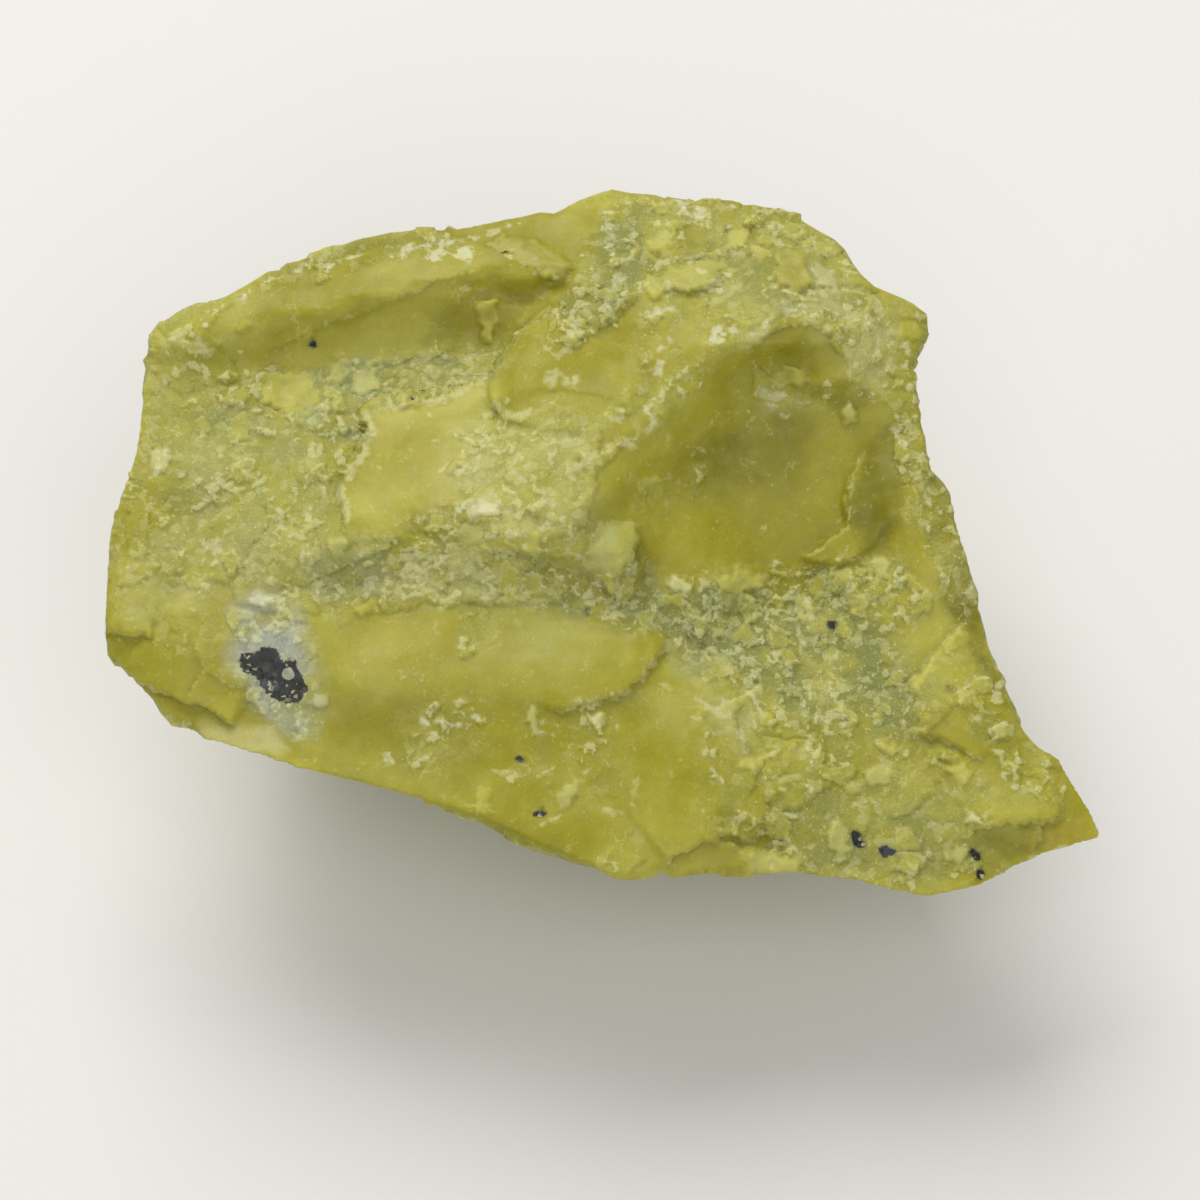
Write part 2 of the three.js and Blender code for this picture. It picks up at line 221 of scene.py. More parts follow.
def near_line(points, line, reach):
    """Distance to a line, the side (1 on the left as it is walked) and the share walked."""
    low, high = line.min(axis=0) - reach, line.max(axis=0) + reach
    close = np.flatnonzero(np.all((points > low) & (points < high), axis=1))
    distance = np.full(len(points), FAR)
    side = np.ones(len(points))
    walked = np.zeros(len(points))
    here = points[close]
    best, best_side, best_walked = distance[close], side[close], walked[close]
    lengths = np.linalg.norm(np.diff(line, axis=0), axis=1)
    before = np.concatenate([[0], np.cumsum(lengths)]) / lengths.sum()
    for index, (start, end) in enumerate(zip(line[:-1], line[1:])):
        run = end - start
        share = np.clip((here - start) @ run / (run @ run), 0, 1)
        gap = here - start - share[:, None] * run
        length = np.linalg.norm(gap, axis=1)
        closer = length < best
        best = np.where(closer, length, best)
        turned = run[1] * (here - start)[:, 0] - run[0] * (here - start)[:, 1]
        best_side = np.where(closer, np.where(turned >= 0, 1.0, -1.0), best_side)
        part = before[index] + share * (before[index + 1] - before[index])
        best_walked = np.where(closer, part, best_walked)
    distance[close], side[close], walked[close] = best, best_side, best_walked
    return distance, side, walked


def within(points, outline, feather):
    """1 inside an outline, 0 outside it, fading over feather pixels."""
    outline = pixels(outline)
    closed = np.concatenate([outline, outline[:1]])
    distance = near_line(points, closed, 2 * feather + 4)[0]
    low, high = outline.min(axis=0), outline.max(axis=0)
    close = np.flatnonzero(np.all((points >= low) & (points <= high), axis=1))
    inside = np.zeros(len(points), bool)
    x, y = points[close].T
    odd = np.zeros(len(close), bool)
    for (x0, y0), (x1, y1) in zip(closed[:-1], closed[1:]):
        if y0 != y1:
            crosses = (y0 > y) != (y1 > y)
            odd ^= crosses & (x < x0 + (y - y0) * (x1 - x0) / (y1 - y0))
    inside[close] = odd
    signed = np.where(inside, distance, -distance)
    signed[inside & (distance == FAR)] = FAR
    return smooth(-feather, feather, signed)


def spot(points, place, radius):
    """1 within a round spot, fading at its edge."""
    distance = np.linalg.norm(points - pixels(place), axis=1)
    return 1 - smooth(0.4 * radius, 1.6 * radius, distance)


# Ledges of the face: height in mm, how far the raised side reaches back in pixels, and the edge.
# The raised side is on the left as the edge is walked.
LEDGES = [
    # pale plate and lobe
    (0.10, 60, "492,376 462,388 440,399 412,404 383,408 364,417"),
    (0.08, 45, "366,416 372,432 360,455 345,472 341,500 350,534"),
    (0.12, 70, "552,300 540,312 522,330 503,358 491,380 489,397 501,418"),
    # front plate, small plate and flake at the right rim
    (0.12, 60, "545,716 565,712 590,704 620,696 642,680 655,660 676,638"),
    (0.06, 60, "600,521 590,545 580,567 600,578 618,581 622,567 633,562 638,543 632,523 600,521"),
    (0.10, 60, "866,447 861,459 850,480 845,500 851,520 838,535 815,550 800,560"),
    # bench and left corner
    (0.06, 30, "256,359 280,346 320,327 380,306 440,281 484,270"),
    (0.34, 26, "104,632 122,637 138,634 158,636"),
    (0.40, 70, "112,660 128,676 150,688 180,699 212,713 240,728"),
    # notch, tip and dome
    (0.40, 60, "663,866 680,852 700,842 718,836 738,836 760,846"),
    (0.34, 40, "966,833 978,828 1018,823 1040,821 1066,819"),
    (0.20, 30, "1033,853 1037,842 1041,829 1040,820"),
    (0.16, 40, "764,683 745,695 715,708 698,700"),
    (0.14, 40, "748,800 757,770 745,745 733,718 745,697"),
    # above the scoop
    (0.16, 36, "748,350 765,338 785,328 806,324 826,332"),
    (0.12, 30, "882,296 850,290 825,289 806,294 796,304"),
    (0.12, 30, "566,346 590,336 608,324 626,308 642,292"),
    # below the bench
    (0.16, 30, "300,413 286,416 262,404 255,386 268,377"),
    (0.12, 26, "326,374 345,366 362,372 380,362 398,366 415,354 432,358 450,348 466,348"),
    # plates at the back
    (0.22, 30, "648,268 662,288 690,293 716,284 722,268"),
    (0.16, 24, "640,232 652,256 676,262 704,256 714,240"),
    (0.16, 24, "722,250 742,245 752,228 770,222"),
    # right side and wing
    (0.24, 46, "962,622 945,642 924,666 903,692"),
    (0.14, 40, "905,738 930,738 958,748 985,762"),
    # facets at the left corner
    (0.07, 30, "196,640 202,668 190,700"),
    (0.07, 24, "200,668 226,684 250,690"),
    # crushed valley
    (0.20, 40, "470,556 500,549 532,556 556,566 584,572"),
    (0.16, 40, "676,596 700,604 735,612 770,610"),
    (0.10, 40, "268,592 300,584 330,574 362,558 390,546 402,528"),
    (0.12, 26, "450,520 470,503 498,500 520,512 545,520"),
]

# Grooves: depth in mm, half width in pixels, and the line
GROOVES = [
    # by the small plate
    (0.22, 4, "577,462 579,480 577,502"),
    (0.20, 5, "576,569 596,576 614,580"),
    (0.10, 11, "646,540 652,566 646,596 620,600"),
    # wing and notch
    (0.14, 4, "918,735 940,742 962,752"),
    (0.40, 13, "732,826 752,838 780,846"),
    # bench
    (0.34, 12, "478,291 492,288 506,296"),
    (0.40, 13, "528,296 542,288 556,286"),
    # under the black inclusion
    (0.10, 12, "250,660 270,672 292,690"),
]

# Lumps and thin flakes: height in mm, colour, its strength, and the outline
LUMPS = [
    # bench and band below it
    (0.18, LEMON, 0.55, "479,300 488,296 497,300 498,318 491,338 483,340 478,322"),
    (0.14, LEMON, 0.7, "256,378 290,371 318,376 320,392 304,413 286,416 264,402"),
    (0.16, STRAW, 0.8, "330,366 346,362 350,378 338,386 326,380"),
    (0.14, STRAW, 0.8, "352,372 372,366 378,384 366,396 352,390"),
    (0.12, STRAW, 0.7, "366,358 382,356 384,368 372,372"),
    # crushed zone
    (0.14, LEMON, 0.7, "511,541 536,531 539,545 530,558"),
    (0.14, CREAM, 0.7, "458,503 482,499 499,502 497,516 470,520"),
    (0.16, STRAW, 0.7, "460,522 482,524 487,545 470,552 456,540"),
    # hollow, small plate and right rim
    (0.20, STRAW, 0.35, "768,376 778,371 784,364 803,371 807,380 799,386 790,383 779,384 771,380"),
    (0.06, STRAW, 0.35,
     "600,521 618,524 634,523 638,543 631,553 633,562 622,567 618,577 605,572 590,573 579,566 592,560 "
     "585,552 598,545 604,535"),
    (0.24, STRAW, 0.8, "841,410 848,404 856,410 854,420 845,422"),
    (0.10, OLIVE, 0.7, "645,634 660,631 673,634 668,643 650,645"),
    # green band
    (0.18, CREAM, 0.6, "668,580 684,577 697,584 690,594 674,592"),
    (0.20, LEMON, 0.7, "718,580 740,572 768,574 765,588 740,593 722,590"),
    (0.16, STRAW, 0.7, "713,630 724,627 727,638 716,642"),
    (0.20, LEMON, 0.8, "850,600 860,594 869,600 868,610 857,614"),
    (0.16, STRAW, 0.7, "870,562 882,556 891,562 888,576 876,578"),
    # wing
    (0.16, LEMON, 0.7, "948,770 962,764 970,772 966,782 952,780"),
    (0.18, CREAM, 0.7, "964,820 968,813 976,815 983,823 974,825 965,825"),
    (0.16, STRAW, 0.8, "948,850 960,844 969,850 964,861 950,860"),
    (0.14, STRAW, 0.7, "862,770 876,763 890,770 888,784 872,790"),
    (0.16, LEMON, 0.7, "877,742 890,740 899,748 892,756 880,750"),
    (0.14, STRAW, 0.7, "768,777 780,773 799,772 799,778 780,781"),
    (0.12, STRAW, 0.6, "788,751 798,746 808,748 806,755 794,757"),
    (0.12, STRAW, 0.6, "844,785 852,782 858,788 854,794 846,792"),
    (0.16, LEMON, 0.8, "739,763 750,755 767,755 757,773 747,768"),
    (0.20, STRAW, 0.55, "748,852 772,850 800,862 796,882 764,884 752,870"),
    (0.18, STRAW, 0.7, "827,830 836,817 844,824 847,848 838,852 829,846"),
    # left field and halo
    (0.14, CREAM, 0.5, "150,452 166,448 172,462 164,478 152,474"),
    (0.14, CHALK, 0.5, "250,594 264,592 273,598 264,605 252,603"),
    (0.12, CHALK, 0.4, "310,694 322,692 326,704 314,708"),
    # back corner
    (0.16, LEMON, 0.8, "645,278 655,275 662,292 655,300 646,295"),
    (0.122, OLIVE, 0.6, "671,240 676,228 692,222 708,228 713,244 698,252 680,250"),
    (0.122, LEMON, 0.5,
     "661,280 671,269 689,264 714,260 725,260 721,269 711,280 700,291 680,292 668,287"),
    (0.066, STRAW, 0.7, "698,306 711,298 725,291 743,280 743,287 732,294 725,302 711,305"),
    (0.068, LEMON, 0.9, "721,250 725,241 736,230 752,226 750,235 743,244 732,249"),
    (0.064, LEMON, 0.7, "750,247 764,244 769,254 760,263 751,256"),
    (0.064, LEMON, 0.6, "641,256 652,238 668,230 675,240 660,252 646,260"),
    # scoop and brow
    (0.08, STRAW, 0.5, "636,486 648,478 662,477 660,482 646,486 640,494"),
    (0.14, CREAM, 0.4, "811,260 822,264 838,284 834,289 818,280"),
    (0.20, YELLOW, 0.6, "776,256 792,250 808,262 812,288 790,291 776,280"),
    (0.12, YELLOW, 0.6, "898,322 914,318 922,332 912,346 900,340"),
    # valley and bench
    (0.16, STRAW, 0.5, "330,540 342,536 348,548 338,556 328,550"),
    (0.14, LEMON, 0.5, "358,604 376,600 382,610 366,618"),
    (0.24, STRAW, 0.35, "486,246 503,250 518,261 540,276 563,283 574,270 558,254 530,240 502,236"),
    # front slope
    (0.10, STRAW, 0.8, "532,707 521,724 530,726 531,734 539,734 540,716"),
    (0.12, STRAW, 0.6, "574,779 579,784 576,793 567,803 562,811 558,801 557,792 563,784"),
    (0.10, LEMON, 0.4, "474,792 482,785 490,787 489,812 481,810"),
    (0.10, CREAM, 0.7, "592,717 597,714 603,719 600,726 593,724"),
    (0.08, CREAM, 0.6, "416,761 420,756 430,756 426,762"),
]

# Areas of crushed, sugary grain: strength, fade in pixels, and the outline
CRUSHED = [
    # left of the middle
    (0.68, 16,
     "118,400 140,340 210,335 236,368 300,374 375,430 362,455 345,474 342,500 352,534 402,528 390,546 "
     "330,576 270,600 200,600 118,585"),
    (1, 8,
     "250,378 275,366 300,374 322,362 340,372 358,360 378,368 396,354 418,360 436,346 452,356 470,342 "
     "484,352 505,348 492,376 462,388 440,400 383,408 366,416 373,432 330,442 290,430"),
    (0.6, 8, "160,320 250,276 340,250 440,232 470,240 350,272 240,306 170,350"),
    (0.75, 14, "452,440 500,408 560,405 600,420 600,470 590,520 600,560 500,560 440,545 400,520 455,500"),
    # valley and right
    (0.95, 14,
     "270,590 330,560 400,530 460,540 520,556 580,570 640,548 662,590 700,600 760,606 770,690 700,690 "
     "668,640 560,612 430,604 340,622"),
    (1, 18,
     "700,575 760,568 830,560 900,556 930,600 900,650 930,690 960,700 920,740 860,740 760,735 744,700 "
     "770,686 700,660"),
    (0.7, 18, "760,735 860,740 950,745 1010,790 985,830 990,870 940,890 760,890 742,845 760,780"),
    (0.6, 10, "930,640 975,640 1010,700 1060,760 1060,810 1020,800 960,720"),
    # back corner and right rim
    (0.8, 8, "540,350 560,300 590,230 620,195 655,195 640,260 640,296 608,326 575,345"),
    (0.75, 12,
     "640,200 740,200 830,236 885,294 925,312 920,345 905,370 880,330 840,310 800,305 745,348 700,330 "
     "690,300 640,290"),
    (0.6, 10, "750,352 790,385 850,380 905,370 915,410 870,400 800,412 748,400"),
    (0.85, 8, "796,310 880,303 905,340 900,392 850,396 846,360 830,335"),
    (0.85, 8, "885,400 915,395 935,460 960,520 978,600 960,640 935,580 900,480"),
    # crest
    (0.6, 8, "728,330 745,335 700,385 668,420 640,440 600,470 585,465 640,420 655,390 690,360"),
    (0.7, 8, "638,320 655,315 650,350 655,385 640,415 610,425 612,405 636,380"),
    # halo, front and left corner
    (0.75, 16, "228,610 262,592 296,600 318,650 326,700 318,738 270,735 236,690 225,650"),
    (0.35, 16, "405,695 485,690 490,740 440,790 400,760"),
    (0.3, 16, "520,700 620,706 640,800 560,815 520,760"),
    (0.45, 14, "690,690 760,690 764,790 735,850 690,830 705,760"),
    (0.35, 12, "112,540 200,560 220,640 150,630 108,620"),
]

# Washes of colour, some of them painted shade and painted highlight as marked: colour, strength, fade in
# pixels, and the outline
WASHES = [
    # bench
    (OLIVE, 0.4, 14, "200,330 300,275 400,255 480,262 440,282 330,320 240,365"),
    (YELLOW, 0.6, 10, "370,262 440,245 495,255 440,278 372,280"),
    # Painted highlight along the bench's crest
    (LEMON, 0.35, 8,
     "240,358 280,336 320,316 380,296 440,270 482,262 480,272 440,282 380,307 320,328 280,347 243,369"),
    (YELLOW, 0.8, 9,
     "238,366 320,330 380,308 440,284 500,280 548,290 510,345 460,346 395,360 300,371 250,378"),
    (LEMON, 0.35, 10, "214,326 262,316 264,344 236,356 212,346"),
    # Painted shade in the recess at the bench's right end
    (MOSS, 0.5, 10, "425,312 470,298 492,286 520,286 556,282 536,305 505,342 480,346 425,338"),
    # grey band and left field
    (SAGE, 1, 10,
     "300,376 395,356 440,351 505,350 492,376 462,388 383,408 366,416 374,440 330,442 300,420"),
    (GREY_GREEN, 0.6, 6, "330,370 395,359 440,353 500,351 492,366 440,374 380,386 340,386"),
    (SAGE, 0.5, 22, "150,400 220,390 300,420 330,450 340,520 260,560 190,520"),
    (HALO, 0.2, 18, "130,530 220,520 300,540 400,545 380,600 250,600 140,585"),
    (YELLOW, 0.4, 12, "128,400 176,420 176,480 150,540 112,560 116,470"),
    (YELLOW, 0.6, 10, "250,465 290,460 330,480 325,505 280,510 255,490"),
    (YELLOW, 0.6, 10, "290,545 330,540 345,560 325,585 292,575"),
    (SAGE, 0.6, 20, "280,560 400,545 520,560 640,600 600,620 420,605 300,600"),
    # pale plate, lobe and crushed zone
    (LEMON, 0.62, 14,
     "492,378 440,402 384,410 368,418 372,436 350,474 345,515 400,518 450,500 470,440 500,420"),
    (OLIVE, 0.65, 16, "500,345 560,300 640,300 640,380 560,410 500,410"),
    (CREAM, 0.4, 30, "460,430 590,430 596,520 540,560 460,550 440,510"),
    # scoop and right rim
    # The scoop's olive and moss are partly the clear olive stone and partly painted shade, darkest on its
    # upper wall
    (OLIVE, 0.9, 22,
     "745,345 800,330 860,380 890,450 850,540 760,560 640,540 590,500 600,466 670,420 700,380"),
    (MOSS, 0.9, 26, "720,420 770,395 810,425 800,485 710,490 665,460"),
    (OLIVE, 0.45, 24, "720,500 830,480 850,540 780,570 690,560"),
    (YELLOW, 0.5, 20, "600,480 700,480 690,560 640,545 600,520"),
    # Painted shade in the hollow, on the wall right of the rim flake and on the steep right side
    (MOSS, 0.3, 8, "768,347 792,334 830,332 848,345 842,362 815,366 780,366"),
    (MOSS, 0.95, 12, "866,445 895,430 905,480 890,540 855,545 850,500"),
    (MOSS, 0.95, 12, "925,430 950,490 985,640 1010,700 985,690 950,600"),
    # valley
    (SAGE, 0.7, 16, "500,548 590,570 640,555 670,600 740,610 750,665 690,680 655,630 560,606"),
    (CREAM, 0.25, 12, "296,556 330,552 396,552 400,600 310,604"),
    (CREAM, 0.6, 12, "400,560 450,552 500,562 505,600 440,600 400,585"),
    # crest, nose and dome
    (YELLOW, 0.8, 8, "600,468 640,440 670,420 668,450 640,465 610,480"),
    (CREAM, 0.2, 12, "560,700 640,690 690,700 690,740 640,730 570,725"),
    (CREAM, 0.35, 10, "690,694 720,700 750,690 762,720 745,750 720,730 700,712"),
    # small plate and valley; the moss washes are painted shadow below and right of the small plate and
    # painted shade in the valley
    (SAGE, 0.7, 10, "594,520 620,520 622,540 604,562 580,568"),
    (MOSS, 0.45, 9, "634,530 652,540 662,575 650,604 600,600 636,578"),
    (MOSS, 0.5, 12, "505,550 560,545 600,580 650,575 640,605 560,600"),
    (BARK, 0.45, 9, "672,628 702,628 745,645 735,662 700,648"),
    # front
    (SAGE, 0.25, 18, "330,630 560,625 620,650 560,690 340,680"),
    (YELLOW, 0.5, 18, "300,630 420,615 560,622 640,640 660,655 640,682 590,702 470,690 340,690"),
    (OLIVE, 1, 26, "330,690 560,712 640,700 680,760 620,800 420,770 330,740"),
    # Painted shade, darker towards the lower front edge
    (MOSS, 0.4, 20, "320,690 440,700 480,740 470,790 330,760"),
    (MOSS, 0.3, 8, "270,742 320,758 440,798 560,838 590,870 480,825 320,775"),
    (OLIVE, 0.4, 18, "600,700 690,700 740,760 700,840 640,860 590,820"),
    # green band and wing
    (GREY_GREEN, 0.85, 20, "700,590 860,575 900,640 930,690 900,735 800,735 760,700 720,660"),
    (GREY_GREEN, 0.7, 16, "690,590 740,596 800,600 820,640 770,660 700,640"),
    (GREY_GREEN, 0.7, 14, "850,650 900,660 910,720 870,730 840,690"),
    (GREY_GREEN, 0.6, 18, "770,790 860,800 960,800 980,840 940,880 800,870"),
    (SAGE, 0.25, 18, "800,735 930,745 950,800 860,810 790,780"),
    (OLIVE, 0.3, 18, "800,730 950,740 960,790 860,800 800,780"),
    (OLIVE, 0.7, 10, "935,712 958,722 1000,712 1012,740 985,752 945,745"),
    # Painted shade in the notch
    (MOSS, 0.6, 8, "738,830 756,828 786,842 780,850 750,846"),
    # tip
    # Painted shade in the scoop under the tip
    (MOSS, 0.65, 6, "976,834 1000,827 1040,824 1034,852 1005,860 985,850"),
    (HONEY, 0.6, 8, "1042,824 1064,822 1100,834 1090,843 1042,846"),
    # left corner
    (CREAM, 0.3, 14, "112,560 200,565 220,620 130,622"),
    (YELLOW, 0.45, 16, "110,560 200,560 235,640 240,690 200,712 130,676 108,620"),
    # Painted shade on the undercut band below the corner's arris
    (OLIVE, 0.8, 6, "130,682 180,702 240,722 230,740 190,718 150,694"),
    (CREAM, 0.6, 8, "200,722 262,728 280,752 240,757 205,740"),
    # back corner and around the hollow
    (SAGE, 0.45, 16, "650,205 740,205 830,245 850,300 790,320 700,300"),
    (CREAM, 0.4, 14, "780,250 850,290 900,330 880,390 840,370 860,330 800,300"),
    (GREY_GREEN, 0.85, 10, "560,340 600,230 640,205 650,250 638,296 600,330"),
    (CREAM, 0.3, 12,
     "802,312 835,302 862,310 880,328 884,350 872,388 858,390 846,372 850,352 838,338 812,328"),
    (CREAM, 0.4, 8, "742,346 748,328 770,312 790,306 796,314 780,328 764,340"),
    # Painted shade along the foot below the hollow
    (MOSS, 0.4, 6, "800,386 846,392 880,392 876,404 840,404 804,398"),
    (STRAW, 0.5, 10, "752,372 790,388 788,412 760,410"),
    # stain and halo
    (BARK, 0.25, 12, "330,566 375,560 380,585 350,604 330,596"),
    (HALO, 0.95, 16, "232,610 262,596 292,604 308,650 318,700 314,735 276,728 244,690 230,650"),
]

# Thin pale bruises, and painted highlights on lit rims, crests and edges as marked: whiteness, strength,
# half width in pixels, and the line
BRUISES_AND_HIGHLIGHTS = [
    # back rim and bench
    # Painted highlight along the lit back rim
    (1, 0.8, 4, "205,322 228,301 244,298"),
    (1, 0.7, 4, "262,280 290,270 318,262"),
    (1, 0.8, 5, "328,268 342,262 356,256"),
    (1, 0.8, 5, "402,254 415,246 432,242"),
    (1, 0.9, 7, "430,256 448,248 468,254"),
    (1, 0.6, 4, "470,238 500,230 520,222"),
    # Painted highlight along the bench's crest
    (0.2, 0.6, 3, "262,355 280,345 320,326 380,305 440,280 476,271"),
    # left edge and flake on the bench
    (0.5, 0.8, 8, "182,336 198,342 212,352"),
    (1, 0.9, 5, "164,450 160,462 156,474"),
    (0.6, 0.9, 2.5, "494,249 517,262 540,276 562,281"),
    # streak and back corner
    (1, 0.55, 7, "625,205 612,222 604,240"),
    (1, 0.55, 7, "610,240 612,262 620,282 606,304"),
    (1, 0.5, 7, "590,290 584,310 574,330 560,345"),
    # Painted highlight along the lit back rim
    (1, 0.8, 8, "678,206 688,212 697,216"),
    (1, 0.8, 4, "728,206 742,209 758,215"),
    (1, 0.6, 7, "645,318 656,312 672,306"),
    (0.5, 0.8, 4, "664,284 680,292 700,290 712,279"),
    # pale plate
    # Painted highlight along the pale plate's edges
    (0.5, 0.9, 5, "374,432 361,456 347,473 343,500 349,520"),
    (0.5, 0.85, 4, "494,376 464,389 442,401 414,406 385,410 368,417 373,432"),
    # nets on the crushed zone and dome
    (0.7, 0.7, 3, "500,440 520,452 512,470 530,482 545,478"),
    (0.7, 0.65, 3, "560,420 566,440 580,455 570,475 584,490"),
    (0.7, 0.65, 3, "540,530 558,520 575,534 566,550 585,560"),
    (0.7, 0.7, 4, "698,700 712,707 724,700 738,706"),
    (0.7, 0.7, 4, "716,712 730,718 742,734 748,750"),
    (0.7, 0.6, 3, "690,716 704,722 712,732"),
    # crest and scoop
    (0.9, 0.8, 5, "675,330 662,350 656,385 646,410 655,426"),
    (0.8, 0.5, 5, "640,392 632,404 620,408"),
    (0.8, 0.5, 4, "648,356 642,372 646,388"),
    (0.3, 0.4, 2, "662,430 668,446 664,456"),
    (0.8, 0.45, 3, "728,410 740,412"),
    (0.8, 0.35, 2, "690,455 700,450 706,452"),
    (0.8, 0.35, 2, "760,478 770,474"),
    (0.5, 0.8, 6, "655,420 636,440 610,448 590,462"),
    (1, 0.95, 7, "710,340 720,334 732,332"),
    # lobe
    (0.5, 0.8, 8, "548,344 556,350 568,342"),
    (0.5, 0.8, 9, "552,378 560,384 572,380"),
    (0.5, 0.5, 3, "574,386 562,396 545,408 536,416"),
    (0.5, 0.8, 5, "496,408 510,416 524,412 542,404"),
    (0.5, 0.8, 4, "608,412 612,420 622,421 624,412"),
    # crushed zone and left field
    (1, 0.7, 8, "462,508 478,504 494,506"),
    (1, 0.6, 7, "206,541 214,548 222,545"),
    (1, 0.5, 6, "230,546 236,552"),
    (0.6, 0.55, 8, "236,560 246,566 258,572"),
    (0.6, 0.5, 7, "150,505 160,520 176,512"),
    (0.6, 0.6, 3, "266,488 270,505 284,515 276,522"),
    (0.4, 0.7, 3, "228,458 240,460 250,456"),
    (0.5, 0.7, 9, "548,500 562,512 574,530"),
    (0.5, 0.7, 7, "540,448 556,440 576,446"),
    (0.5, 0.6, 6, "478,560 500,545 520,562"),
    # ridge, hollow and right rim
    (1, 0.8, 6, "748,340 765,328 788,316 800,310"),
    (1, 0.55, 8, "754,384 766,392 780,388 772,402 788,410"),
    (1, 0.7, 6, "905,350 908,368 912,380"),
    (1, 0.8, 5, "896,430 906,446 912,452"),
    (0.5, 0.7, 6, "905,460 920,478 930,500"),
    # Painted highlight along the rim flake's thin edge
    (0.5, 0.65, 2.5, "862,458 851,480 846,500 852,520 838,536"),
    # dome and front plate
    # Painted highlight along the edges of the dome's plate and the front plate
    (0.5, 0.8, 4, "700,700 715,707 745,696 760,687"),
    (0.5, 0.7, 4, "673,641 656,660 643,680 621,695 590,703"),
    (1, 0.6, 8, "408,673 414,678 420,682"),
    # front slope
    (0.5, 0.7, 4, "431,709 438,706 446,710"),
    (0.5, 0.75, 3, "471,710 476,702 484,697"),
    (1, 0.8, 4, "423,720 440,722 455,725 467,721 479,719"),
    (1, 0.6, 4, "438,735 444,740"),
    (0.3, 0.6, 3, "429,724 423,740 418,752"),
    (0.5, 0.6, 3, "411,750 409,760"),
    (0.3, 0.6, 3, "433,768 424,775 418,784"),
    (1, 0.55, 7, "544,728 556,732 570,744"),
    (0.5, 0.7, 3, "576,729 586,723"),
    (1, 0.7, 4, "606,718 614,724"),
    (0.5, 0.7, 5, "496,771 508,775 520,772 527,768"),
    (0.5, 0.6, 3, "539,776 545,770 551,766"),
    (1, 0.5, 5, "580,781 588,772"),
    (0.3, 0.6, 4, "638,780 632,792 634,803"),
    (0.5, 0.6, 4, "604,806 616,812 628,814"),
    (0.5, 0.7, 3, "544,824 552,820 560,818"),
    (0.3, 0.5, 3, "440,785 438,798"),
    (0.3, 0.5, 3, "452,785 447,800"),
    (0.5, 0.6, 4, "662,684 668,690 664,697"),
    # lip and halo
    (1, 0.7, 4, "386,752 388,760 388,768"),
    (1, 0.7, 6, "252,598 262,600 272,598"),
    (1, 0.6, 7, "300,712 306,722 298,734"),
    (1, 0.5, 6, "238,668 246,684 256,694"),
    # wing and tip
    (0.5, 0.5, 4, "800,745 830,725 846,700 860,690"),
    (0.5, 0.5, 4, "806,700 800,720 806,740"),
    (0.5, 0.5, 4, "868,800 880,812 878,830"),
    # Painted highlight along the tip's thin edges
    (0, 0.8, 2.5, "966,833 978,828 1018,823 1040,821 1066,819"),
    (0, 0.7, 2.5, "1041,829 1037,842 1033,853"),
    (0.5, 0.7, 4, "1030,858 1060,848 1092,843"),
    # scratches in the scoop
    (0.5, 0.35, 1.5, "672,482 690,484 708,482"),
    (0.5, 0.3, 1.5, "680,500 694,502"),
    (0.5, 0.3, 1.5, "700,515 703,540 704,562"),
    (0.5, 0.3, 1.5, "638,495 648,488 662,486"),
    # right side
    # Painted highlight along the edge of the flake on the right side
    (0, 0.8, 6, "960,630 944,650 926,670 908,692"),
    (0.5, 0.6, 4, "962,694 975,692 984,704 976,718 963,712"),
]

# Black and brown grains: place, radius in pixels, colour, strength
GRAINS = [
    ("311,341", 4, INK, 0.7),
    ("414,398", 5, INK, 0.7),
    ("424,396", 4, INK, 0.6),
    ("833,625", 5, INK, 0.75),
    ("854,839", 7, INK, 0.95),
    ("858,844", 6, INK, 0.9),
    ("883,850", 6, INK, 0.9),
    ("891,850", 5, INK, 0.9),
    ("972,851", 4, INK, 0.85),
    ("976,856", 4, INK, 0.85),
    ("980,874", 4, INK, 0.8),
    ("520,760", 4, INK, 0.7),
    ("537,814", 3.5, INK, 0.8),
    ("543,812", 3.5, INK, 0.8),
    ("727,231", 3.5, BARK, 0.8),
    ("587,614", 4, INK, 0.6),
    ("446,549", 3.5, BARK, 0.6),
    ("950,688", 4, BARK, 0.7),
    ("688,635", 6, BARK, 0.7),
    ("700,646", 5, BARK, 0.6),
    ("446,584", 3, BARK, 0.5),
]

# The black inclusion and the greenish grain in it, by outline
INCLUSION = [
    "238,660 246,652 258,653 266,646 277,649 284,664 282,678 262,682 246,672",
    "256,674 276,668 284,660 296,662 304,676 307,690 303,702 284,702 266,697",
]
INCLUSION_HOLE = ("288,674", 6)


# ---- the stone's mesh

def read(things, name, width=3, kind=np.float32):
    """One property of all of a mesh's vertices, normals or edges."""
    values = np.empty(len(things) * width, kind)
    things.foreach_get(name, values)
    return values.reshape(-1, width)


def set_points(mesh, points):
    mesh.vertices.foreach_set("co", points.astype(np.float32).ravel())
    mesh.update()


def with_modifier(piece, name, kind, **settings):
    """Replaces a piece's mesh by what one modifier makes of it."""
    modifier = piece.modifiers.new(name, kind)
    for key, value in settings.items():
        setattr(modifier, key, value)
    graph = bpy.context.evaluated_depsgraph_get()
    made = bpy.data.meshes.new_from_object(piece.evaluated_get(graph))
    piece.modifiers.clear()
    old = piece.data
    piece.data = made
    bpy.data.meshes.remove(old)


